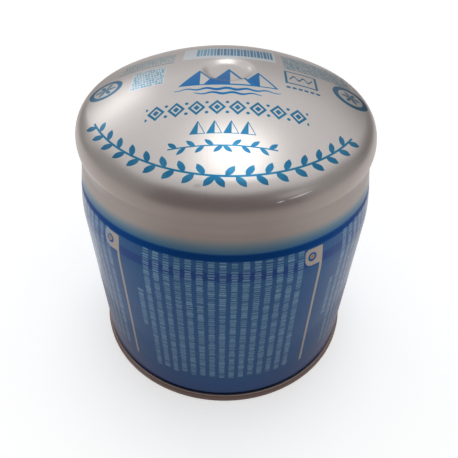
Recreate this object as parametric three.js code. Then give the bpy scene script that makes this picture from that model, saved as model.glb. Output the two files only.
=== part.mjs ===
// Fuel canister: a sealed gas cartridge of drawn and painted steel.
// One shell is drawn with its domed top, and a base end is closed onto it by a double seam.
// Millimetres, +Z up. The origin is the centre of the circle that the seam stands on.
import * as THREE from 'three';

// Drawn shell
const bodyRadius = 45;
const shoulderStart = 56; // height at which the straight wall begins to draw in
const shoulderEndSlope = 0.06; // how much the shoulder still leans in where it meets the dome
const domeInset = 2.2; // the dome's edge lies this far inside the wall
const creaseDepth = 0.9; // the crease under the dome lies this far inside the dome's edge
const underRadius = 1.3; // tight radius by which the dome turns in under its edge

// Domed top
const crownHeight = 95; // height that the crown would reach without its dimple
const crownRadius = 85;
const knuckleRadius = 8.6;
const dimpleRadius = 7.8;
const dimpleDepth = 0.9;
const dimpleFloorRadius = 4.4;

// Double seam round the base
const seamProud = 0.9; // the seam stands out this far beyond the wall
const seamHeight = 3.2;
const seamWidth = 2.3; // from the seam's outside to the wall of the recess inside it
const seamEdgeRadius = 0.6;
const creviceDepth = 0.35; // the shell tucks in this far where the seam grips it
const creviceHeight = 1.3;

// Base end, pressed inwards inside the seam
const recessDepth = 4.4; // height of the base panel's edge above the standing face
const recessWallLean = 1.1; // how far the recess narrows on its way up
const panelCornerRadius = 1.8;
const panelRise = 3.4; // how much higher the middle of the panel stands than its edge

const facetsAround = 72;

// Places that follow from the sizes
const domeEdgeRadius = bodyRadius - domeInset;
const creaseRadius = domeEdgeRadius - creaseDepth;
const crownCentre = crownHeight - crownRadius;
const knuckleCentreRadius = domeEdgeRadius - knuckleRadius;
const knuckleCentre = crownCentre
  + Math.sqrt((crownRadius - knuckleRadius) ** 2 - knuckleCentreRadius ** 2);
const knuckleTop = Math.acos(knuckleCentreRadius / (crownRadius - knuckleRadius));
const underCentreRadius = domeEdgeRadius - underRadius;
const underEnd = -Math.acos((creaseRadius - underCentreRadius) / underRadius);
const creaseHeight = knuckleCentre + underRadius * Math.sin(underEnd);
const shoulderThird = (creaseHeight - shoulderStart) / 3;
const dimpleRimAngle = Math.acos(dimpleRadius / crownRadius);
const dimpleRim = crownCentre + crownRadius * Math.sin(dimpleRimAngle);
const dimpleFloor = dimpleRim - dimpleDepth;
const dimpleWallWidth = dimpleRadius - dimpleFloorRadius;
const seamRadius = bodyRadius + seamProud;
const seamInnerRadius = seamRadius - seamWidth;
const recessTopRadius = seamInnerRadius - recessWallLean;
const panelRadius = recessTopRadius - panelCornerRadius;
const panelSphereRadius = (panelRadius ** 2 + panelRise ** 2) / (2 * panelRise);
const panelSphereCentre = recessDepth + panelRise - panelSphereRadius;
const panelEdgeAngle = Math.acos(panelRadius / panelSphereRadius);

const point = (radius, height) => new THREE.Vector2(radius, height);
const line = (from, to) => ({ curve: new THREE.LineCurve(from, to), steps: 1 });
const bend = (from, corner, to, steps) => (
  { curve: new THREE.QuadraticBezierCurve(from, corner, to), steps });
const sweep = (from, leaving, arriving, to, steps) => (
  { curve: new THREE.CubicBezierCurve(from, leaving, arriving, to), steps });

// An arc about a centre on the section plane, from one angle to another.
function arc(centreRadius, centreHeight, radius, fromAngle, toAngle, steps) {
  const clockwise = toAngle < fromAngle;
  const curve = new THREE.EllipseCurve(
    centreRadius, centreHeight, radius, radius, fromAngle, toAngle, clockwise);
  return { curve, steps };
}

// Section of the base end: its panel, the wall of its recess and the foot of the seam.
function baseEnd() {
  const corner = point(recessTopRadius, recessDepth);
  return [
    arc(0, panelSphereCentre, panelSphereRadius, Math.PI / 2, panelEdgeAngle, 6),
    bend(point(panelRadius, recessDepth), corner,
      point(recessTopRadius + recessWallLean * panelCornerRadius / recessDepth,
        recessDepth - panelCornerRadius), 3),
    bend(point(seamInnerRadius, seamEdgeRadius), point(seamInnerRadius, 0),
      point(seamInnerRadius + seamEdgeRadius, 0), 2),
    arc(seamRadius - seamEdgeRadius, seamEdgeRadius, seamEdgeRadius, -Math.PI / 2, 0, 3),
    arc(seamRadius - seamEdgeRadius, seamHeight - seamEdgeRadius, seamEdgeRadius, 0, Math.PI / 2, 3),
  ];
}

// Section of the drawn shell from the seam up to the crease under the dome.
function wall() {
  const wallFoot = point(bodyRadius - creviceDepth, seamHeight);
  const wallStart = point(bodyRadius, seamHeight + creviceHeight);
  const shoulder = point(bodyRadius, shoulderStart);
  const crease = point(creaseRadius, creaseHeight);
  return [
    sweep(wallFoot, point(bodyRadius - creviceDepth, seamHeight + creviceHeight / 2),
      point(bodyRadius, seamHeight + creviceHeight / 2), wallStart, 3),
    line(wallStart, shoulder),
    sweep(shoulder, point(bodyRadius, shoulderStart + shoulderThird),
      point(creaseRadius + shoulderEndSlope * shoulderThird, creaseHeight - shoulderThird),
      crease, 10),
  ];
}

// Section of the dome: its turned-in edge, knuckle and crown, then the dimple at its middle.
function dome() {
  const crownSlope = Math.tan(Math.PI / 2 - dimpleRimAngle);
  const easing = dimpleWallWidth / 2;
  return [
    arc(underCentreRadius, knuckleCentre, underRadius, underEnd, 0, 4),
    arc(knuckleCentreRadius, knuckleCentre, knuckleRadius, 0, knuckleTop, 7),
    arc(0, crownCentre, crownRadius, knuckleTop, dimpleRimAngle, 8),
    sweep(point(dimpleRadius, dimpleRim), point(dimpleRadius - easing, dimpleRim + easing * crownSlope),
      point(dimpleFloorRadius + easing, dimpleFloor), point(dimpleFloorRadius, dimpleFloor), 6),
    line(point(dimpleFloorRadius, dimpleFloor), point(0, dimpleFloor)),
  ];
}

// The points of a run of curves, with each shared end given once.
function trace(curves) {
  const points = [];
  for (const { curve, steps } of curves) {
    for (const next of curve.getPoints(steps)) {
      const last = points[points.length - 1];
      if (!last || last.distanceTo(next) > 1e-6) points.push(next);
    }
  }
  points[0].x = 0;
  return points;
}

const section = trace([...baseEnd(), ...wall(), ...dome()]);

const paintedSteel = new THREE.MeshStandardMaterial({
  name: 'painted_steel', color: 0x2d4a70, roughness: 0.34, metalness: 0.55 });

const canister = new THREE.Mesh(new THREE.LatheGeometry(section, facetsAround), paintedSteel);
canister.name = 'canister';
canister.rotation.x = Math.PI / 2; // the lathe turns about Y, and the canister stands along Z

const group = new THREE.Group();
group.add(canister);

export default group;
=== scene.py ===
"""Fuel canister: a sealed gas cartridge of drawn steel, silver on its dome and printed blue on its wall.

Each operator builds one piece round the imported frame. Lengths are in metres unless a name says otherwise,
and printed marks are placed in millimetres and degrees, seen from the front (-Y) and from above.
"""
import math

import bmesh
import bpy
from bpy.props import FloatProperty, FloatVectorProperty, IntProperty, PointerProperty
from mathutils import Matrix, Vector


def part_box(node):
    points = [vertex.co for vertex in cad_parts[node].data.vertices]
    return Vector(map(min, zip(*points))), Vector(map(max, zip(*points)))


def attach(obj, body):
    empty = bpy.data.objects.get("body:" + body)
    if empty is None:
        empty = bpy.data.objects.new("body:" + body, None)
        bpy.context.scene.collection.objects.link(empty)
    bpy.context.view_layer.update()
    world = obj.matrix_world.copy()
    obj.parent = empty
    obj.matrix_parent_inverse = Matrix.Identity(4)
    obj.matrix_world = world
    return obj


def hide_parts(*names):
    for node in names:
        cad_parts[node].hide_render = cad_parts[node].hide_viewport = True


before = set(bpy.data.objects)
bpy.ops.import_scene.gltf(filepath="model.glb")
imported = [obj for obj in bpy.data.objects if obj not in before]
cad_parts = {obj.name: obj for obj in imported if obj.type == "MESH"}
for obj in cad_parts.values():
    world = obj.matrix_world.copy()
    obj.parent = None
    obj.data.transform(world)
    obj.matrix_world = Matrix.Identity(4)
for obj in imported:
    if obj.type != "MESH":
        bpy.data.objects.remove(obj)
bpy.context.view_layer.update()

bl_info = {
    "name": "Fuel canister",
    "version": (1, 0, 0),
    "blender": (4, 5, 0),
    "location": "3D View > Sidebar > Canister",
    "description": "Builds a printed, seamed gas cartridge and a plain studio round it",
    "category": "Object",
}

MM = 0.001
LOW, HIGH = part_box("canister")
SEAM_RADIUS = (HIGH[0] - LOW[0]) / 2
PHOTO_WIDTH = 458
SENSOR_WIDTH = 36.0
SHELL_GRIP = 1.0 * MM  # how far the shell reaches down into the seam
SEAM_GAP = 0.05 * MM  # clearance of the shell in the seam's groove
NECK_HANDLE = 0.42  # how long the handles of the neck's last bend are, as a share of its rise
SAME_PLACE = 1e-7  # points nearer each other than this are one
SHARP_TURN = math.radians(32)  # faces that meet more sharply than this keep a crisp edge


class CanisterSizes(bpy.types.PropertyGroup):
    """Sizes of the turned steel pieces"""

    seam_proud: FloatProperty(
        name="Seam proud", description="How far the seam stands out beyond the wall",
        default=0.9 * MM, unit="LENGTH")
    seam_height: FloatProperty(
        name="Seam height", description="Height of the double seam", default=3.2 * MM, unit="LENGTH")
    seam_width: FloatProperty(
        name="Seam width", description="From the seam's outside to the recess inside it",
        default=2.3 * MM, unit="LENGTH")
    seam_edge_radius: FloatProperty(
        name="Seam edge", description="Radius of the seam's edges", default=0.6 * MM, unit="LENGTH")
    sheet: FloatProperty(
        name="Sheet", description="Thickness of the steel", default=0.3 * MM, unit="LENGTH")
    crevice_depth: FloatProperty(
        name="Crevice depth", description="How far the wall tucks in above the seam",
        default=0.35 * MM, unit="LENGTH")
    crevice_height: FloatProperty(
        name="Crevice height", description="Height over which the wall tucks in",
        default=1.3 * MM, unit="LENGTH")
    shoulder_start: FloatProperty(
        name="Shoulder start", description="Height at which the wall begins to draw in",
        default=56 * MM, unit="LENGTH")
    shoulder_end_slope: FloatProperty(
        name="Shoulder end slope", description="How much the shoulder leans in where it meets the dome",
        default=0.06)
    crease_softness: FloatProperty(
        name="Crease softness", description="How far below the crease the neck begins to turn out",
        default=3.2 * MM, unit="LENGTH")
    dome_inset: FloatProperty(
        name="Dome inset", description="How far the dome's edge lies inside the wall",
        default=2.2 * MM, unit="LENGTH")
    crease_depth: FloatProperty(
        name="Crease depth", description="How far the crease lies inside the dome's edge",
        default=0.9 * MM, unit="LENGTH")
    under_radius: FloatProperty(
        name="Under radius", description="Radius by which the dome turns in under its edge",
        default=1.3 * MM, unit="LENGTH")
    crown_height: FloatProperty(
        name="Crown height", description="Height that the crown would reach without its dimple",
        default=95 * MM, unit="LENGTH")
    crown_radius: FloatProperty(
        name="Crown radius", description="Radius of the dome's crown", default=85 * MM, unit="LENGTH")
    knuckle_radius: FloatProperty(
        name="Knuckle radius", description="Radius of the dome's shoulder",
        default=8.6 * MM, unit="LENGTH")
    dimple_radius: FloatProperty(
        name="Dimple radius", description="Radius of the dimple's rim", default=7.8 * MM, unit="LENGTH")
    dimple_depth: FloatProperty(
        name="Dimple depth", description="Depth of the dimple below its rim",
        default=0.9 * MM, unit="LENGTH")
    dimple_floor_radius: FloatProperty(
        name="Dimple floor", description="Radius of the dimple's flat floor",
        default=4.4 * MM, unit="LENGTH")
    recess_depth: FloatProperty(
        name="Recess depth", description="Height of the base panel's edge", default=4.4 * MM, unit="LENGTH")
    recess_wall_lean: FloatProperty(
        name="Recess lean", description="How far the recess narrows on its way up",
        default=1.1 * MM, unit="LENGTH")
    panel_corner_radius: FloatProperty(
        name="Panel corner", description="Radius between the recess and its panel",
        default=1.8 * MM, unit="LENGTH")
    panel_rise: FloatProperty(
        name="Panel rise", description="How much higher the middle of the base panel stands",
        default=3.4 * MM, unit="LENGTH")
    turns: IntProperty(
        name="Facets around", description="Steps of each turned piece", default=192, min=24)


class CanisterColours(bpy.types.PropertyGroup):
    """Colours of the paint and print, and how thickly the blue ink lies"""

    silver: FloatVectorProperty(
        name="Silver", description="Silver paint on the dome and neck", subtype="COLOR",
        default=(0.50, 0.47, 0.455))
    blue_ink: FloatVectorProperty(
        name="Blue ink", description="What one full coat of the clear blue ink lets through",
        subtype="COLOR", default=(0.010, 0.155, 0.68))
    ring_coats: FloatProperty(
        name="Ring coats", description="Coats of ink on the ring below the neck", default=1.0)
    wall_coats: FloatProperty(
        name="Wall coats", description="Coats of ink on the wall", default=0.69)
    emblem_ink: FloatVectorProperty(
        name="Emblem ink", description="What the clear ink of the three peaks lets through",
        subtype="COLOR", default=(0.004, 0.25, 0.76))
    mark_ink: FloatVectorProperty(
        name="Mark ink", description="What the clear ink of the dome's other marks lets through",
        subtype="COLOR", default=(0.040, 0.27, 0.53))
    fine_print: FloatVectorProperty(
        name="Fine print", description="Pale blue of the columns on the wall", subtype="COLOR",
        default=(0.22, 0.44, 0.66))
    warm_spot: FloatVectorProperty(
        name="Warm spot", description="Orange of the dot on each silver tab", subtype="COLOR",
        default=(0.42, 0.22, 0.12))
    panel_white: FloatVectorProperty(
        name="Panel white", description="Pale panel behind the dimple", subtype="COLOR",
        default=(0.60, 0.68, 0.74))
    seam_steel: FloatVectorProperty(
        name="Seam steel", description="Lacquered steel of the base end", subtype="COLOR",
        default=(0.23, 0.174, 0.157))


class CanisterStudio(bpy.types.PropertyGroup):
    """Camera and lamps"""

    camera_forward: FloatProperty(
        name="Camera forward", description="Camera's distance in front of the can's axis",
        default=127.2 * MM, unit="LENGTH")
    camera_height: FloatProperty(
        name="Camera height", description="Camera's height above the floor",
        default=148.4 * MM, unit="LENGTH")
    camera_pitch: FloatProperty(
        name="Camera pitch", description="How far the camera looks down", default=0.815, subtype="ANGLE")
    camera_yaw: FloatProperty(
        name="Camera yaw", description="How far the camera looks to the right",
        default=0.027, subtype="ANGLE")
    camera_roll: FloatProperty(
        name="Camera roll", description="How far the camera leans", default=0.036, subtype="ANGLE")
    focal_pixels: FloatProperty(
        name="Focal length", description="Focal length in pixels of the photograph's frame", default=474.1)
    centre_across: FloatProperty(
        name="Centre across", description="Column where the lens points, in the frame's pixels",
        default=233.4)
    centre_down: FloatProperty(
        name="Centre down", description="Row where the lens points, in the frame's pixels", default=278.3)
    world_light: FloatProperty(
        name="World light", description="Strength of the even light from all round", default=0.60)
    key_power: FloatProperty(
        name="Key power", description="Power of the soft box overhead", default=1.5, unit="POWER")
    window_power: FloatProperty(
        name="Window power", description="Power of the soft box behind to the left",
        default=0.50, unit="POWER")
    strip_power: FloatProperty(
        name="Strip power", description="Power of the narrow strip to the right of the camera",
        default=0.12, unit="POWER")


class Value:
    """A number that changes over the surface, joined by shader nodes with plain arithmetic."""

    def __init__(self, graph, socket):
        self.graph = graph
        self.socket = socket

    def __add__(self, other):
        return self.graph.math("ADD", self, other)

    def __sub__(self, other):
        return self.graph.math("SUBTRACT", self, other)

    def __rsub__(self, other):
        return self.graph.math("SUBTRACT", other, self)

    def __mul__(self, other):
        return self.graph.math("MULTIPLY", self, other)

    def __truediv__(self, other):
        return self.graph.math("DIVIDE", self, other)

    def __abs__(self):
        return self.graph.math("ABSOLUTE", self)

    __radd__ = __add__
    __rmul__ = __mul__


class Graph:
    """Adds nodes to one shader tree."""

    def __init__(self, tree):
        self.tree = tree

    def node(self, kind, inputs=(), **settings):
        made = self.tree.nodes.new(kind)
        for name, value in settings.items():
            setattr(made, name, value)
        for key, value in dict(inputs).items():
            self.join(value, made.inputs[key])
        return made

    def join(self, value, socket):
        if isinstance(value, Value):
            self.tree.links.new(value.socket, socket)
        else:
            socket.default_value = value

    def out(self, made, key=0):
        return Value(self, made.outputs[key])

    def math(self, operation, *values):
        made = self.node("ShaderNodeMath", enumerate(values), operation=operation)
        return self.out(made)

    def ramp(self, value, low, high, start=0.0, end=1.0):
        """start where value is at low or under, end at high or over, and a slope between."""
        numbers = enumerate((value, low, high, start, end))
        return self.out(self.node("ShaderNodeMapRange", numbers, clamp=True))

    def fall(self, value, low, high):
        """1 where value is at low or under, 0 at high or over, and a slope between."""
        return self.ramp(value, low, high, 1.0, 0.0)

    def near(self, value, centre, half, soft):
        """1 within half of centre, and 0 beyond it, over a soft edge."""
        return self.fall(abs(value - centre), half - soft / 2, half + soft / 2)

    def between(self, value, low, high, soft):
        return self.near(value, (low + high) / 2, (high - low) / 2, soft)

    def either(self, *masks):
        total = masks[0]
        for mask in masks[1:]:
            total = self.math("MAXIMUM", total, mask)
        return total

    def floor(self, value):
        return self.math("FLOOR", value)

    def fraction(self, value):
        return self.math("FRACT", value)

    def distance(self, across, along, centre):
        """Distance on a plane from one point."""
        side = across - centre[0]
        ahead = along - centre[1]
        return self.math("SQRT", side * side + ahead * ahead)

    def vector(self, *parts):
        return self.out(self.node("ShaderNodeCombineXYZ", enumerate(parts)))

    def chance(self, *parts):
        """An even random number from 0 to 1 for each cell."""
        made = self.node("ShaderNodeTexWhiteNoise", {"Vector": self.vector(*parts)}, noise_dimensions="3D")
        return self.out(made, "Value")

    def noise(self, place, scale, detail, rough):
        made = self.node("ShaderNodeTexNoise",
                         {"Vector": place, "Scale": scale, "Detail": detail, "Roughness": rough})
        return self.out(made, "Fac")

    def mix(self, factor, first, second, **settings):
        """Two colours, mixed. Each is joined, or set where it is three plain numbers."""
        made = self.node("ShaderNodeMix", {0: factor}, data_type="RGBA", **settings)
        for colour, socket in ((first, made.inputs[6]), (second, made.inputs[7])):
            self.join(colour if isinstance(colour, Value) else (*colour, 1.0), socket)
        return self.out(made, 2)

    def tint(self, under, over, mask):
        """The colour under, covered by the colour over where mask is 1."""
        return self.mix(mask, under, over)

    def shade(self, colour, amount):
        """The colour, made lighter or darker by a number round 1."""
        return self.mix(1.0, colour, amount, blend_type="MULTIPLY")

    def use(self, maker, **inputs):
        """Places the node group that maker builds, made once and shared, and gives its outputs by name."""
        group = bpy.data.node_groups.get(maker.__name__) or maker()
        made = self.node("ShaderNodeGroup", inputs, node_tree=group)
        return {socket.name: Value(self, socket) for socket in made.outputs}

    def drive(self, shader, **values):
        """Sets or joins a shader's sockets, which are named with _ for a space."""
        for key, value in values.items():
            self.join(value, shader.inputs[key.replace("_", " ")])


def new_group(name, inputs, outputs):
    """An empty node group with float inputs and outputs, ready to be filled."""
    tree = bpy.data.node_groups.new(name, "ShaderNodeTree")
    for socket, default in inputs.items():
        made = tree.interface.new_socket(socket, in_out="INPUT", socket_type="NodeSocketFloat")
        made.default_value = default
    for socket in outputs:
        tree.interface.new_socket(socket, in_out="OUTPUT", socket_type="NodeSocketFloat")
    graph = Graph(tree)
    source = graph.node("NodeGroupInput")
    target = graph.node("NodeGroupOutput")
    given = {key: Value(graph, source.outputs[key]) for key in inputs}
    return tree, graph, given, target


def place_on_can():
    """Where a point lies on the can: millimetres in plan and in height, and degrees round from the front."""
    outputs = ("Across", "Along", "Height", "Radius", "Angle")
    tree, graph, _, target = new_group("place_on_can", {}, outputs)
    coordinates = graph.out(graph.node("ShaderNodeTexCoord"), "Object")
    split = graph.node("ShaderNodeSeparateXYZ", {0: coordinates})
    across, along, height = (graph.out(split, axis) * (1 / MM) for axis in range(3))
    radius = graph.distance(across, along, (0.0, 0.0))
    angle = graph.math("ARCTAN2", across, 0.0 - along) * math.degrees(1)
    for key, value in zip(outputs, (across, along, height, radius, angle)):
        graph.join(value, target.inputs[key])
    return tree


def fine_rows():
    """Rows of short plain bars of uneven size and strength, in runs with gaps between them."""
    inputs = {"Run": 0.0, "Row": 0.0, "Seed": 0.0, "Mark": 1.0, "Fill": 0.6}
    tree, graph, given, target = new_group("fine_rows", inputs, ("Mask",))
    line = graph.floor(given["Row"])
    across_line = graph.fraction(given["Row"])
    shifted = given["Run"] / given["Mark"] + line * 7.3 + given["Seed"]
    mark = graph.floor(shifted)
    inside = graph.fraction(shifted)
    ink = graph.chance(mark, line, given["Seed"])
    tall = graph.chance(mark, line, given["Seed"] + 9.5)
    # A run is four to five bars long and ends in a gap.
    cluster = graph.fraction(shifted / 4.6 + graph.chance(line, given["Seed"], 2.5))
    filled = graph.ramp(cluster, 0.06, 0.12)
    stroke = graph.near(inside, 0.5, 0.26 + ink * 0.20, 0.14)
    half_height = given["Fill"] * (0.40 + tall * 0.14)
    band = graph.fall(abs(across_line - 0.5), half_height - 0.04, half_height + 0.04)
    strength = graph.chance(mark, line, given["Seed"] + 4.5) * 0.45 + 0.60
    graph.join(graph.math("MINIMUM", filled * stroke * band * strength, 1.0), target.inputs["Mask"])
    return tree


def garland():
    """A thin stem with leaves that lean along it, on one side and the other by turns."""
    inputs = {"Run": 0.0, "Lift": 0.0, "Pitch": 2.4, "Size": 1.0}
    tree, graph, given, target = new_group("garland", inputs, ("Mask",))
    leaf_half, leaf_width, leaf_rise, lean = 1.75, 0.66, 1.05, math.radians(38)
    stem_half = 0.2
    cells = given["Run"] / given["Pitch"]
    cell = graph.floor(cells)
    inside = (graph.fraction(cells) - 0.5) * given["Pitch"] / given["Size"]
    lift = given["Lift"] / given["Size"]
    side = graph.fraction(cell / 2.0) * 4.0 - 1.0
    rise = lift * side - leaf_rise
    along = inside * math.cos(lean) + rise * math.sin(lean)
    over = rise * math.cos(lean) - inside * math.sin(lean)
    form = (along / leaf_half) * (along / leaf_half) + abs(over) / leaf_width
    leaf = graph.fall(form, 0.92, 1.10)
    stem = graph.fall(abs(lift), stem_half - 0.06, stem_half + 0.06)
    graph.join(graph.either(leaf, stem), target.inputs["Mask"])
    return tree


def clear_ink():
    """What clear blue ink lets through: the colour of one full coat, raised to the number of coats."""
    inputs = {"Coats": 0.0, "Red": 0.01, "Green": 0.16, "Blue": 0.67}
    tree, graph, given, target = new_group("clear_ink", inputs, ())
    tree.interface.new_socket("Colour", in_out="OUTPUT", socket_type="NodeSocketColor")
    through = [graph.math("POWER", given[key], given["Coats"]) for key in ("Red", "Green", "Blue")]
    colour = graph.node("ShaderNodeCombineColor", enumerate(through))
    graph.join(graph.out(colour), target.inputs["Colour"])
    return tree


def steel_grain():
    """Slight unevenness of painted sheet: a shade round 1, a fine grain and a height for bumps."""
    inputs = {"Cloud": 40.0, "Fleck": 2600.0}
    tree, graph, given, target = new_group("steel_grain", inputs, ("Shade", "Fleck", "Height"))
    coordinates = graph.out(graph.node("ShaderNodeTexCoord"), "Object")
    cloud = graph.noise(coordinates, given["Cloud"], 3.0, 0.55)
    fleck = graph.noise(coordinates, given["Fleck"], 1.0, 0.6)
    ripple = graph.noise(coordinates, given["Cloud"] * 1.7, 1.0, 0.4)
    graph.join(graph.ramp(cloud, 0.3, 0.7, 0.965, 1.03), target.inputs["Shade"])
    graph.join(graph.ramp(fleck, 0.25, 0.75, 0.97, 1.03), target.inputs["Fleck"])
    graph.join(ripple + fleck * 0.012, target.inputs["Height"])
    return tree


def new_material(name, **sockets):
    """A material with a Principled shader, its plain numbers set on the shader's own sockets."""
    material = bpy.data.materials.new(name)
    material.use_nodes = True
    shader = material.node_tree.nodes["Principled BSDF"]
    graph = Graph(material.node_tree)
    graph.drive(shader, **sockets)
    return material, graph, shader


def bump(graph, height, strength, distance):
    made = graph.node("ShaderNodeBump", {"Height": height, "Strength": strength, "Distance": distance})
    return graph.out(made, "Normal")


def inked(graph, ink_colour, silver, coats):
    """Silver paint seen through clear ink."""
    red, green, blue = ink_colour
    ink = graph.use(clear_ink, Coats=coats, Red=red, Green=green, Blue=blue)
    return graph.shade(silver, ink["Colour"])


def peak(graph, across, along, centre, foot, height, half_width):
    """A triangle on a line of the plan: solid to the left of its point and outlined to the right."""
    up = (along - foot) / height
    side = (across - centre) / half_width
    edge = up + abs(side)
    whole = graph.fall(edge, 0.98, 1.02) * graph.ramp(up, -0.01, 0.01)
    outline = graph.either(graph.ramp(edge, 0.88, 0.91), graph.fall(up, 0.03, 0.06))
    lit = graph.ramp(side, 0.02, 0.06)
    return whole, whole * (1.0 - lit * (1.0 - outline))


def emblem(graph, across, along):
    """Three peaks over two short lines of water."""
    foot = -9.0
    middle, middle_ink = peak(graph, across, along, 0.3, foot, 11.2, 6.6)
    _, left_ink = peak(graph, across, along, -7.4, foot, 7.6, 5.2)
    _, right_ink = peak(graph, across, along, 8.0, foot, 7.2, 5.0)
    forms = [middle_ink, (1.0 - middle) * graph.either(left_ink, right_ink)]
    for depth, reach, thick in ((-10.7, 13.5, 0.50), (-12.5, 8.5, 0.42)):
        taper = graph.ramp(abs(across), 2.0, reach, thick, 0.10)
        swell = graph.math("SINE", across * 1.25 + depth) * 0.30
        line = graph.fall(abs(along - depth - swell) - taper, -0.08, 0.08)
        forms.append(line * graph.near(across, 0.0, reach, 0.3))
    return graph.either(*forms)


def ornament_rows(graph, across, along, radius, angle):
    """A row of lozenges, a row of small peaks, a short garland and a long curved one."""
    sag = across * across * 0.0022  # the rows bow towards the front at their ends

    lift = along + 17.9 + sag * 0.6
    inside = (graph.fraction((across + 20.0) / 5.0) - 0.5) * 5.0
    lozenge = abs(inside) + abs(lift) * 0.86
    first = graph.either(graph.near(lozenge, 1.78, 0.40, 0.16), graph.near(lozenge, 0.0, 0.80, 0.16))
    between = graph.distance(abs(inside), abs(lift), (2.5, 1.75))
    first = graph.either(first, graph.near(between, 0.0, 0.42, 0.16))
    first = first * graph.near(across, 0.0, 20.1, 0.1)

    cell = (graph.fraction((across + 9.0) / 4.0) - 0.5) * 4.0
    _, small_peaks = peak(graph, cell, along, 0.0, -26.3 - sag, 4.0, 1.9)
    second = small_peaks * graph.near(across, -1.0, 8.0, 0.1)

    short = graph.use(
        garland, Run=abs(across + 0.9), Lift=along + 29.6 + sag, Pitch=2.15, Size=0.80)["Mask"]
    short = short * graph.near(across, -0.9, 12.9, 0.1)
    long_radius, long_middle = 37.2, -4.0
    around = abs(angle - long_middle) * math.radians(long_radius)
    long = graph.use(garland, Run=around, Lift=long_radius - radius, Pitch=2.35, Size=1.12)["Mask"]
    long = long * graph.near(angle, long_middle, 61.5, 0.3)
    return graph.either(first, second, short, long)


def badge(graph, across, along, centre, ring, stroke, petals):
    """A ring with a six-petalled rosette in it."""
    out = graph.distance(across, along, centre)
    turn = graph.math("ARCTAN2", along - centre[1], across - centre[0])
    petal = abs(graph.math("COSINE", turn * 3.0)) * petals - out
    rosette = graph.ramp(petal, -0.05, 0.12)
    return graph.either(graph.near(out, ring, stroke, 0.15), rosette * 0.8)


def dome_print(graph, place):
    """Masks of the dome's emblem, of its other blue marks and of its pale panel."""
    across, along = place["Across"], place["Along"]
    radius, angle = place["Radius"], place["Angle"]

    # Pale panel behind the dimple, with even pairs of a thick and a thin bar
    panel = graph.near(across, 0.4, 13.0, 0.3) * graph.near(along, 12.6, 5.6, 0.3)
    bar_cell = graph.fraction((across + 9.0) / 1.9)
    bars = graph.either(graph.near(bar_cell, 0.27, 0.21, 0.10), graph.near(bar_cell, 0.76, 0.13, 0.10))
    bars = bars * graph.near(across, 1.8, 10.8, 0.2) * graph.near(along, 13.3, 4.0, 0.3)
    bars = bars * graph.ramp(across, -4.2, -3.6, 0.5, 1.0)  # fainter at the left

    badges = graph.either(badge(graph, across, along, (-33.4, -0.6), 4.1, 0.66, 3.0),
                          badge(graph, across, along, (34.0, -1.0), 4.5, 0.80, 2.8))

    # Small blocks of fine rows, a ruled line and an outlined box with a wave in it
    def block(low, high, pitch, seed, strength):
        lines_of_marks = graph.use(
            fine_rows, Run=across, Row=along / pitch, Seed=seed, Mark=pitch * 0.62, Fill=0.8)["Mask"]
        inside = graph.between(across, low[0], high[0], 0.2) * graph.between(along, low[1], high[1], 0.2)
        return lines_of_marks * inside * strength

    blocks = graph.either(
        block((-25.6, -6.0), (-17.0, 3.6), 1.25, 11.0, 0.55),
        block((-29.6, 7.2), (-15.0, 14.4), 1.2, 12.0, 0.36),
        block((15.4, 4.0), (35.0, 16.0), 1.2, 13.0, 0.75))
    dashes = graph.near(graph.fraction((across - 15.0) / 1.6), 0.5, 0.34, 0.10)
    dashes = dashes * graph.between(across, 15.0, 24.6, 0.1) * graph.near(along, -6.7, 0.42, 0.15)
    rule = graph.between(across, -31.0, -15.0, 0.2) * graph.near(along, 6.3, 0.20, 0.1)
    box_across, box_along = 19.6, -1.2
    edge = graph.math("MAXIMUM", abs(across - box_across) / 4.5, abs(along - box_along) / 3.6)
    box = graph.near(edge, 0.92, 0.07, 0.03)
    swing = graph.math("SINE", across * 2.4) * 0.9
    wave = graph.fall(abs(along - box_along + swing), 0.32, 0.5)
    wave = wave * graph.near(across, box_across, 3.2, 0.1)

    patch = graph.between(across, -25.9, -16.7, 0.3) * graph.between(along, -6.3, 3.9, 0.3)
    marks = graph.either(ornament_rows(graph, across, along, radius, angle),
                         badges, blocks, rule, dashes, box, wave, panel * bars)
    return emblem(graph, across, along), marks, graph.either(panel, patch * 0.6)


def wear_marks(graph, place):
    """Masks of the dome's marks: pale streaks round its edge that are painted highlights, and a smear and a
    faint line at its front.
    """
    across, along = place["Across"], place["Along"]
    angle, height = place["Angle"], place["Height"]
    # The pale streaks are painted highlights: the glint of a narrow bright strip in the lacquer, laid into
    # the colour.
    # Middle and half-length in degrees, height there, climb for each degree, and width
    strokes = ((24.4, 4.6, 82.2, 0.052, 0.19), (17.4, 1.6, 81.75, 0.055, 0.15))
    painted_glints = []
    for middle, half, level, climb, width in strokes:
        track = height - level - (angle - middle) * climb
        thin = graph.ramp(abs(angle - middle), 0.0, half, 1.0, 0.1)
        painted_glints.append(graph.fall(abs(track) / thin, width * 0.5, width * 1.2)
                      * graph.fall(abs(angle - middle), half * 0.9, half))
    from_smear = graph.distance((across + 6.4) * 0.35, along + 39.1, (0.0, 0.0))
    smear = graph.fall(from_smear, 0.12, 0.55)
    seam_line = graph.near(across, -4.4, 0.10, 0.12) * graph.between(along, -42.5, -29.0, 2.0)
    return graph.either(*painted_glints), graph.either(smear, seam_line * 0.22)


def grained_paint(name, colours, smoothest, **sockets):
    """Silver paint with a slight grain under a clear lacquer, ready for its ink."""
    material, graph, shader = new_material(name, Coat_Roughness=0.12, IOR=1.45, **sockets)
    grain = graph.use(steel_grain)
    graph.drive(shader, Roughness=graph.ramp(grain["Fleck"], 0.97, 1.03, smoothest, smoothest + 0.05),
                Normal=bump(graph, grain["Height"], 0.10, 0.0006))
    silver = graph.shade(graph.shade(colours.silver, grain["Shade"]), grain["Fleck"])
    return material, graph, shader, silver


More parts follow.
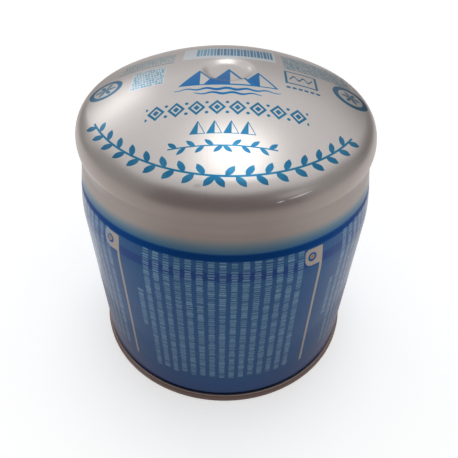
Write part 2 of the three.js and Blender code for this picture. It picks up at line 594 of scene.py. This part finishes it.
def printed_dome(colours):
    """Silver paint with blue marks, under a clear lacquer."""
    material, graph, shader, silver = grained_paint("printed_dome", colours, 0.32, Coat_Weight=0.05)
    place = graph.use(place_on_can)
    peaks, marks, panel = dome_print(graph, place)
    silver = graph.tint(silver, colours.panel_white, panel * 0.75)
    painted_glints, smear = wear_marks(graph, place)
    glint_colour, dull = (0.80, 0.80, 0.84), (0.20, 0.18, 0.17)
    # Painted highlights: pale streaks tinted into the paint at the dome's edge.
    silver = graph.tint(silver, glint_colour, painted_glints * 0.8)
    silver = graph.tint(silver, dull, smear * 0.35)
    # The painted highlight streaks are less metallic than the paint round them, and ink lets less white
    # light back.
    metal = 0.88 + graph.either(peaks, marks) * 0.12 - painted_glints * 0.6
    # The marks are a little uneven, as ink on metal is.
    coordinates = graph.out(graph.node("ShaderNodeTexCoord"), "Object")
    uneven = graph.ramp(graph.noise(coordinates, 260.0, 1.0, 0.5), 0.3, 0.7, 0.88, 1.10)
    colour = inked(graph, colours.emblem_ink, silver, peaks * uneven)
    colour = inked(graph, colours.mark_ink, colour, marks * uneven)
    graph.drive(shader, Base_Color=colour, Metallic=metal)
    return material


def wall_panels(graph, place):
    """Masks of the wall's fine print, of its silver tabs and lines, and of each tab's warm spot and ring."""
    panel_starts = (-183.0, -112.0, -40.0, 35.0, 106.0)  # degrees round, at each silver line
    column_pitch = 3.87
    columns = 15
    first_column = 10.4
    print_size = {"Mark": 0.82, "Fill": 0.60}
    top, bottom = 65.3, 13.4
    tab_low, tab_high, tab_reach, tab_corner = 59.6, 64.9, 5.4, 2.3
    tab_cut = 0.9
    spot_centre = (3.1, 62.5)  # behind the line, and in height
    line_half = 0.46
    degree = math.radians(1) * 45.0  # millimetres along the wall
    angle, height = place["Angle"], place["Height"]
    masks = {"fine": [], "silver": [], "ring": [], "spot": []}
    for number, start in enumerate(panel_starts):
        # Degrees round from this panel's line, from 0 up to a full turn
        turned = graph.fraction((angle - start + 360.0) / 360.0) * 360.0
        row = (turned - first_column) / column_pitch
        marks = graph.use(fine_rows, Run=height, Row=row, Seed=20.0 + number, **print_size)["Mask"]
        # Each column ends at a height of its own
        short = graph.chance(graph.floor(row), 4.0 + number, 1.5) * 1.4
        ends = graph.ramp(height, bottom + short, bottom + short + 0.3)
        ends = ends * graph.fall(height, top, top + 0.3)
        marks = marks * graph.between(row, 0, columns, 0.05) * ends
        # One more column, a short one, stands before the first.
        extra = graph.use(fine_rows, Run=height, Row=row + 1.0, Seed=40.0 + number, **print_size)["Mask"]
        extra = extra * graph.between(row, -1.0, 0.0, 0.05) * graph.between(height, 33.0, 49.4, 0.3)
        masks["fine"] += [marks, extra]
        # The tab hangs behind the line, and its lower corner away from the line is rounded.
        behind = (360.0 - turned) * degree
        past = graph.math("MAXIMUM", behind - (tab_reach - tab_corner), 0.0)
        below = graph.math("MAXIMUM", tab_low + tab_corner - height, 0.0)
        rounded = graph.math("SQRT", past * past + below * below)
        tab = graph.fall(rounded, tab_corner - 0.12, tab_corner + 0.12)
        # Its upper corner is cut across a little.
        cut = graph.math("MAXIMUM", behind - tab_reach + height - tab_high + tab_cut, height - tab_high)
        tab = tab * graph.fall(cut, 0.0, 0.3)
        beside = graph.math("MINIMUM", behind, turned * degree)
        line = graph.fall(beside, line_half - 0.1, line_half + 0.1)
        line = line * graph.between(height, bottom - 0.4, tab_high, 0.3)
        spot = graph.distance(behind, height, spot_centre)
        masks["silver"] += [tab, line]
        masks["ring"].append(graph.near(spot, 1.05, 0.30, 0.25))
        masks["spot"].append(graph.near(spot, 0.0, 0.55, 0.3))
    return {key: graph.either(*parts) for key, parts in masks.items()}


def printed_wall(colours):
    """Silver neck that runs down into blue, with columns of fine print, under a clear lacquer."""
    material, graph, shader, silver = grained_paint(
        "printed_wall", colours, 0.34, Specular_Tint=(0.64, 0.64, 0.64, 1.0))
    place = graph.use(place_on_can)
    height = place["Height"]
    panels = wall_panels(graph, place)
    # The print was drawn down a little further at the can's sides than at its front.
    sideways = place["Across"] / place["Radius"]
    sideways = sideways * sideways

    # Coats of ink: a mist that thickens down the neck, the ring, and the wall with one darker band, and
    # extra coats at the foot that paint in shade
    mist_top = 72.2 - sideways * 1.9
    mist = graph.math("POWER", graph.fall(height, 67.0, mist_top), 1.6) * 0.62
    body = graph.between(height, 59.4, 62.2, 0.9) * 0.30 + colours.wall_coats
    # Painted shade: the wall darkens towards the seam through extra coats of ink, which stand in for the
    # shaded floor it mirrors there.
    body = body + graph.ramp(height, 6.0, 16.0, 0.14, 0.0)
    ring_height = height + sideways * 0.7
    over_ring = graph.ramp(ring_height, 67.3, 67.9)
    under_ring = graph.fall(ring_height, 65.2, 65.8)
    ring = 1.0 - over_ring - under_ring
    coats = mist * over_ring + ring * colours.ring_coats + body * under_ring
    bare = panels["silver"] * (1.0 - panels["ring"])
    colour = inked(graph, colours.blue_ink, silver, coats * (1.0 - bare))
    colour = graph.tint(colour, colours.fine_print, panels["fine"] * 0.85)
    colour = graph.tint(colour, colours.warm_spot, panels["spot"] * 0.9)
    # The lacquer thins out up the neck, and the ring has next to none.
    lacquer = graph.ramp(height, 66.0, 74.0, 0.52, 0.12) * (1.0 - ring * 0.95)
    metal = graph.either(graph.ramp(height, 66.0, 74.0, 0.85, 0.88), ring)
    graph.drive(shader, Base_Color=colour, Coat_Weight=lacquer, Metallic=metal)
    return material


def seam_steel(colours):
    """Lacquered steel of the base end, with fine marks running round it."""
    material, graph, shader = new_material("seam_steel", Metallic=0.9, Coat_Weight=0.15, Coat_Roughness=0.2)
    place = graph.use(place_on_can)
    grain = graph.use(steel_grain, Cloud=90.0)
    around = graph.vector(place["Height"] * 6.0, place["Radius"] * 6.0, place["Angle"] * 0.02)
    drawn = graph.noise(around, 3.0, 2.0, 0.6)
    colour = graph.shade(colours.seam_steel, grain["Shade"])
    colour = graph.shade(colour, graph.ramp(drawn, 0.3, 0.7, 0.90, 1.06))
    graph.drive(shader, Base_Color=colour, Roughness=graph.ramp(drawn, 0.3, 0.7, 0.30, 0.46),
                Normal=bump(graph, drawn, 0.08, 0.0002))
    return material


def arc_points(centre_radius, centre_height, radius, start, end, steps):
    """Points of the section along an arc about a centre on the section plane."""
    turns = (start + (end - start) * step / steps for step in range(steps + 1))
    return [(centre_radius + radius * math.cos(turn), centre_height + radius * math.sin(turn))
            for turn in turns]


def curve_points(*places, steps):
    """Points of the section along a curve from its first place to its last, drawn by those between."""
    degree = len(places) - 1
    points = []
    for step in range(steps + 1):
        t = step / steps
        weights = [math.comb(degree, power) * t ** power * (1 - t) ** (degree - power)
                   for power in range(degree + 1)]
        points.append(tuple(sum(weight * place[axis] for weight, place in zip(weights, places))
                            for axis in (0, 1)))
    return points


def new_object(name, data):
    made = bpy.data.objects.new(name, data)
    bpy.context.scene.collection.objects.link(made)
    return made


def form_object(name, form, materials):
    """Turns a finished bmesh into an object with the given materials."""
    mesh = bpy.data.meshes.new(name)
    form.to_mesh(mesh)
    form.free()
    for material in materials:
        mesh.materials.append(material)
    return new_object(name, mesh)


def turned_form(section, start, end, steps):
    """A surface turned about the can's axis by a section, between two angles from +X."""
    form = bmesh.new()
    corners = []
    for radius, height in section:
        place = Vector((radius * math.cos(start), radius * math.sin(start), height))
        if not corners or (corners[-1].co - place).length > SAME_PLACE:
            corners.append(form.verts.new(place))
    for first, second in zip(corners, corners[1:]):
        form.edges.new((first, second))
    whole = math.isclose(end - start, 2 * math.pi)
    bmesh.ops.spin(form, geom=form.verts[:] + form.edges[:], cent=(0, 0, 0), axis=(0, 0, 1),
                   angle=end - start, steps=steps, use_merge=whole, use_duplicate=False)
    return form


def turned_piece(name, section, turns, materials, choose=None):
    """A closed solid turned about the can's axis from a section that starts and ends on the axis."""
    form = turned_form(section, 0, 2 * math.pi, turns)
    bmesh.ops.remove_doubles(form, verts=form.verts[:], dist=SAME_PLACE)
    bmesh.ops.recalc_face_normals(form, faces=form.faces[:])
    if choose:
        for face in form.faces:
            face.material_index = choose(face.calc_center_median())
    piece = form_object(name, form, materials)
    piece.data.shade_smooth()
    piece.data.set_sharp_from_angle(angle=SHARP_TURN)
    return piece


def shell_section(sizes):
    """Section of the drawn shell, closed by a floor out of sight, and the height of its crease."""
    body = SEAM_RADIUS - sizes.seam_proud
    dome_edge = body - sizes.dome_inset
    crease = dome_edge - sizes.crease_depth
    crown_centre = sizes.crown_height - sizes.crown_radius
    knuckle_centre_radius = dome_edge - sizes.knuckle_radius
    reach = sizes.crown_radius - sizes.knuckle_radius
    knuckle_centre = crown_centre + math.sqrt(reach ** 2 - knuckle_centre_radius ** 2)
    knuckle_top = math.acos(knuckle_centre_radius / reach)
    under_centre = dome_edge - sizes.under_radius
    under_end = -math.acos((crease - under_centre) / sizes.under_radius)
    crease_height = knuckle_centre + sizes.under_radius * math.sin(under_end)
    third = (crease_height - sizes.shoulder_start) / 3
    rim_turn = math.acos(sizes.dimple_radius / sizes.crown_radius)
    rim = crown_centre + sizes.crown_radius * math.sin(rim_turn)
    floor = rim - sizes.dimple_depth
    dimple, flat = sizes.dimple_radius, sizes.dimple_floor_radius
    easing = (dimple - flat) / 2
    rim_slope = math.tan(math.pi / 2 - rim_turn)
    foot_radius = body - sizes.crevice_depth
    foot = sizes.seam_height - SHELL_GRIP
    inner_floor = sizes.recess_depth + sizes.panel_rise + 2 * sizes.sheet
    wall_start = sizes.seam_height + sizes.crevice_height
    halfway = sizes.seam_height + sizes.crevice_height / 2
    section = [(0, inner_floor), (foot_radius - sizes.sheet, inner_floor),
               (foot_radius - sizes.sheet, foot), (foot_radius, foot)]
    section += curve_points((foot_radius, sizes.seam_height), (foot_radius, halfway),
                            (body, halfway), (body, wall_start), steps=8)
    section += [(body, sizes.shoulder_start * share) for share in (0.25, 0.5, 0.75)]
    neck = curve_points((body, sizes.shoulder_start), (body, sizes.shoulder_start + third),
                        (crease + sizes.shoulder_end_slope * third, crease_height - third),
                        (crease, crease_height), steps=40)
    section += [place for place in neck if place[1] < crease_height - sizes.crease_softness]
    neck_end = section[-1]
    handle = (knuckle_centre - neck_end[1]) * NECK_HANDLE
    leaving = (neck_end[0] - sizes.shoulder_end_slope * handle, neck_end[1] + handle)
    section += curve_points(neck_end, leaving, (dome_edge, knuckle_centre - handle),
                            (dome_edge, knuckle_centre), steps=16)
    section += arc_points(knuckle_centre_radius, knuckle_centre, sizes.knuckle_radius, 0, knuckle_top, 18)
    section += arc_points(0, crown_centre, sizes.crown_radius, knuckle_top, rim_turn, 20)
    section += curve_points((dimple, rim), (dimple - easing, rim + easing * rim_slope),
                            (flat + easing, floor), (flat, floor), steps=14)
    section += [(flat / 2, floor), (0, floor)]
    return section, crease_height


def base_section(sizes):
    """Section of the base end: its panel, its recess and the double seam, with the sheet's thickness."""
    inner = SEAM_RADIUS - sizes.seam_width
    recess_top = inner - sizes.recess_wall_lean
    panel_edge = recess_top - sizes.panel_corner_radius
    sphere = (panel_edge ** 2 + sizes.panel_rise ** 2) / (2 * sizes.panel_rise)
    sphere_centre = sizes.recess_depth + sizes.panel_rise - sphere
    edge_turn = math.acos(panel_edge / sphere)
    edge = sizes.seam_edge_radius
    slope = sizes.recess_wall_lean / sizes.recess_depth
    wall_top = sizes.recess_depth - sizes.panel_corner_radius
    wall_top_radius = recess_top + slope * sizes.panel_corner_radius
    groove = SEAM_RADIUS - sizes.seam_proud - sizes.crevice_depth + SEAM_GAP
    groove_floor = sizes.seam_height - SHELL_GRIP - 2 * SEAM_GAP
    lip = 0.25 * MM
    section = arc_points(0, sphere_centre, sphere, math.pi / 2, edge_turn, 16)
    section += curve_points((panel_edge, sizes.recess_depth), (recess_top, sizes.recess_depth),
                            (wall_top_radius, wall_top), steps=6)
    section += curve_points((inner, edge), (inner, 0), (inner + edge, 0), steps=5)
    section += arc_points(SEAM_RADIUS - edge, edge, edge, -math.pi / 2, 0, 6)
    section += arc_points(SEAM_RADIUS - edge, sizes.seam_height - edge, edge, 0, math.pi / 2, 7)
    section += curve_points((groove - SEAM_GAP + lip, sizes.seam_height), (groove, sizes.seam_height),
                            (groove, sizes.seam_height - lip), steps=3)
    section += [(groove, groove_floor), (wall_top_radius + sizes.sheet, groove_floor)]
    section += curve_points((wall_top_radius + sizes.sheet, wall_top + sizes.sheet),
                            (recess_top + sizes.sheet, sizes.recess_depth + sizes.sheet),
                            (panel_edge, sizes.recess_depth + sizes.sheet), steps=6)
    section += arc_points(0, sphere_centre, sphere + sizes.sheet, edge_turn, math.pi / 2, 16)
    section[0] = (0, section[0][1])
    section[-1] = (0, section[-1][1])
    return section


def settings():
    scene = bpy.context.scene
    return scene.canister_sizes, scene.canister_colours, scene.canister_studio


class CANISTER_OT_drawn_shell(bpy.types.Operator):
    """Turns the drawn shell: wall, shoulder, crease and dimpled dome"""

    bl_idname = "canister.drawn_shell"
    bl_label = "Drawn shell"
    bl_options = {"REGISTER", "UNDO"}

    def execute(self, context):
        sizes, colours, _ = settings()
        section, crease_height = shell_section(sizes)
        shell = turned_piece("drawn_shell", section, sizes.turns,
                             [printed_wall(colours), printed_dome(colours)],
                             lambda centre: int(centre.z > crease_height))
        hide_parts("canister")
        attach(shell, "root")
        return {"FINISHED"}


class CANISTER_OT_base_end(bpy.types.Operator):
    """Turns the base end: its pressed panel, its recess and the double seam"""

    bl_idname = "canister.base_end"
    bl_label = "Base end"
    bl_options = {"REGISTER", "UNDO"}

    def execute(self, context):
        sizes, colours, _ = settings()
        base = turned_piece("base_end", base_section(sizes), sizes.turns, [seam_steel(colours)])
        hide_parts("canister")
        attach(base, "root")
        return {"FINISHED"}


def seen_or_mirrored(graph):
    """1 for what the camera sees, directly, mirrored or through glass, and 0 for plain light."""
    path = graph.node("ShaderNodeLightPath")
    rays = ("Is Camera Ray", "Is Glossy Ray", "Is Transmission Ray")
    return graph.either(*(graph.out(path, ray) for ray in rays))


def white_background(world, strength):
    """White where it is seen or mirrored, and even light of the given strength elsewhere."""
    world.use_nodes = True
    graph = Graph(world.node_tree)
    lift = graph.ramp(seen_or_mirrored(graph), 0.0, 1.0, strength, 1.0)
    graph.drive(world.node_tree.nodes["Background"], Color=(1.0, 1.0, 1.0, 1.0), Strength=lift)


def floor_material():
    """Pale floor that lifts to white where it is seen or mirrored, and keeps the can's shadow."""
    material, graph, shader = new_material(
        "pale_floor", Roughness=0.9, Specular_IOR_Level=0.0,
        Base_Color=(0.82, 0.82, 0.82, 1.0), Emission_Color=(1.0, 1.0, 1.0, 1.0))
    # Far from the lamps the floor needs more to reach white.
    radius = graph.use(place_on_can)["Radius"]
    lift = seen_or_mirrored(graph) * graph.ramp(radius, 350.0, 1500.0, 0.42, 0.56)
    graph.drive(shader, Emission_Strength=lift)
    return material


def soft_box(name, power, size, place, target, size_y=None):
    lamp = bpy.data.lights.new(name, "AREA")
    lamp.energy = power
    lamp.shape = "RECTANGLE"
    lamp.size = size
    lamp.size_y = size_y or size
    box = new_object(name, lamp)
    box.location = place
    box.rotation_euler = (Vector(target) - Vector(place)).to_track_quat("-Z", "Y").to_euler()


def tone_card(name, section, start, end, front, back=None):
    """A card turned about the can's axis, seen only where the steel mirrors it.

    Its tone runs from front to back as it goes round, where a second one is given.
    """
    # The front is a quarter turn before +X.
    form = turned_form(section, math.radians(start - 90), math.radians(end - 90), 48)
    material, graph, shader = new_material(
        name, Roughness=1.0, Specular_IOR_Level=0.0, Base_Color=(0.0, 0.0, 0.0, 1.0), Emission_Strength=1.0)
    angle = graph.use(place_on_can)["Angle"]
    tone = graph.tint(front, back or front, graph.ramp(abs(angle), 30.0, 130.0))
    graph.drive(shader, Emission_Color=tone)
    card = form_object(name, form, [material])
    for rays in ("camera", "diffuse", "shadow", "transmission"):
        setattr(card, "visible_" + rays, False)


def dark_cards():
    """What the steel mirrors: a brown table with a painted shadow of the can round its foot and painted
    shade at its front, a dark card behind the camera, and paler ones round it.

    Each card has its start and end in degrees round from the front.
    """
    near, far, lift = SEAM_RADIUS + 0.2 * MM, 0.62, 0.3 * MM
    middle = SEAM_RADIUS + 14 * MM
    wall = far + 10 * MM
    flats = (
        # Painted shadow: the ring next to the can is the table in the can's shadow. Both flat cards are
        # darker at the front, where the shade falls.
        ("can_shadow_card", near, middle, lift, -180, 180, (0.36, 0.30, 0.285), (0.46, 0.43, 0.42)),
        ("table_card", middle, far, lift, -180, 180, (0.43, 0.36, 0.335), (0.93, 0.88, 0.86)),
        ("left_table_card", 0.062, 0.13, 2 * lift, -160, -98, (1.0, 0.96, 0.94)))
    for name, inner, outer, height, start, end, *tones in flats:
        tone_card(name, [(inner, height), (outer, height)], start, end, *tones)
    uprights = (
        ("front_card", 0.36, 0.405, -52, 52, (0.150, 0.113, 0.113)),
        ("left_card", far, 0.52, -112, -52, (0.42, 0.40, 0.39)),
        ("right_card", far, 0.50, 52, 105, (0.36, 0.34, 0.33)),
        ("right_back_card", far, 0.27, 105, 150, (0.165, 0.148, 0.14)),
        ("low_back_card", far, 0.13, 150, 161, (0.22, 0.20, 0.19)),
        ("back_card", far, 0.13, 161, 200, (0.38, 0.35, 0.34)),
        ("low_left_card", far, 0.15, 200, 248, (0.22, 0.20, 0.19)),
        ("right_wall_card", wall, 0.40, 112, 150, (0.69, 0.67, 0.66)),
        ("wall_card", wall, 0.40, 150, 176, (0.50, 0.48, 0.47)),
        ("left_wall_card", wall, 0.34, 176, 200, (0.68, 0.66, 0.65)),
        ("left_back_card", wall, 0.25, 200, 240, (0.28, 0.26, 0.25)))
    for name, radius, top, start, end, tone in uprights:
        tone_card(name, [(radius, lift), (radius, top)], start, end, tone)


def photo_camera(studio):
    """The camera that took in the can from above and in front."""
    pitch, yaw, roll = studio.camera_pitch, studio.camera_yaw, studio.camera_roll
    forward = Vector((math.sin(yaw) * math.cos(pitch), math.cos(yaw) * math.cos(pitch), -math.sin(pitch)))
    right = Vector((math.cos(yaw), -math.sin(yaw), 0))
    up = right.cross(forward)
    leaning_right = math.cos(roll) * right + math.sin(roll) * up
    leaning_up = -math.sin(roll) * right + math.cos(roll) * up
    lens = bpy.data.cameras.new("photo_camera")
    lens.sensor_width = SENSOR_WIDTH
    lens.lens = studio.focal_pixels * SENSOR_WIDTH / PHOTO_WIDTH
    lens.shift_x = (PHOTO_WIDTH / 2 - studio.centre_across) / PHOTO_WIDTH
    lens.shift_y = (studio.centre_down - PHOTO_WIDTH / 2) / PHOTO_WIDTH
    lens.clip_start = 5 * MM
    camera = new_object("photo_camera", lens)
    turn = Matrix((leaning_right, leaning_up, -forward)).transposed()
    place = Vector((0, -studio.camera_forward, studio.camera_height))
    camera.matrix_world = Matrix.Translation(place) @ turn.to_4x4()
    bpy.context.scene.camera = camera


class CANISTER_OT_stage(bpy.types.Operator):
    """Sets the floor, the soft light and the camera"""

    bl_idname = "canister.stage"
    bl_label = "Stage"
    bl_options = {"REGISTER", "UNDO"}

    def execute(self, context):
        _, _, studio = settings()
        scene = context.scene
        scene.view_settings.view_transform = "Standard"
        world = scene.world or bpy.data.worlds.new("studio")
        scene.world = world
        white_background(world, studio.world_light)
        form = bmesh.new()
        bmesh.ops.create_grid(form, x_segments=1, y_segments=1, size=2.0)
        floor = form_object("floor", form, [floor_material()])
        soft_box("key_box", studio.key_power, 0.40, (0.055, 0.20, 1.0), (0, 0, 0.08))
        soft_box("window_box", studio.window_power, 0.34, (-0.5525, 0.7605, 0.50), (0, 0, 0.09), 0.18)
        soft_box("strip_box", studio.strip_power, 0.26, (0.56, -0.50, 0.36), (0, 0, 0.08), 0.03)
        dark_cards()
        photo_camera(studio)
        return {"FINISHED"}


class CANISTER_PT_panel(bpy.types.Panel):
    """Lists the canister's sizes, colours and steps"""

    bl_idname = "CANISTER_PT_panel"
    bl_label = "Fuel canister"
    bl_space_type = "VIEW_3D"
    bl_region_type = "UI"
    bl_category = "Canister"

    def draw(self, context):
        layout = self.layout
        for step in STEPS:
            layout.operator(step.bl_idname)
        for group in settings():
            box = layout.box()
            for name in group.bl_rna.properties.keys():
                if name not in {"rna_type", "name"}:
                    box.prop(group, name)


STEPS = (CANISTER_OT_drawn_shell, CANISTER_OT_base_end, CANISTER_OT_stage)
GROUPS = {"canister_sizes": CanisterSizes, "canister_colours": CanisterColours,
          "canister_studio": CanisterStudio}
CLASSES = (*GROUPS.values(), *STEPS, CANISTER_PT_panel)


def register():
    for item in CLASSES:
        bpy.utils.register_class(item)
    for name, group in GROUPS.items():
        setattr(bpy.types.Scene, name, PointerProperty(type=group))


def unregister():
    for name in GROUPS:
        delattr(bpy.types.Scene, name)
    for item in reversed(CLASSES):
        bpy.utils.unregister_class(item)


def main():
    register()
    bpy.ops.canister.drawn_shell()
    bpy.ops.canister.base_end()
    bpy.ops.canister.stage()


if __name__ == "__main__":
    main()
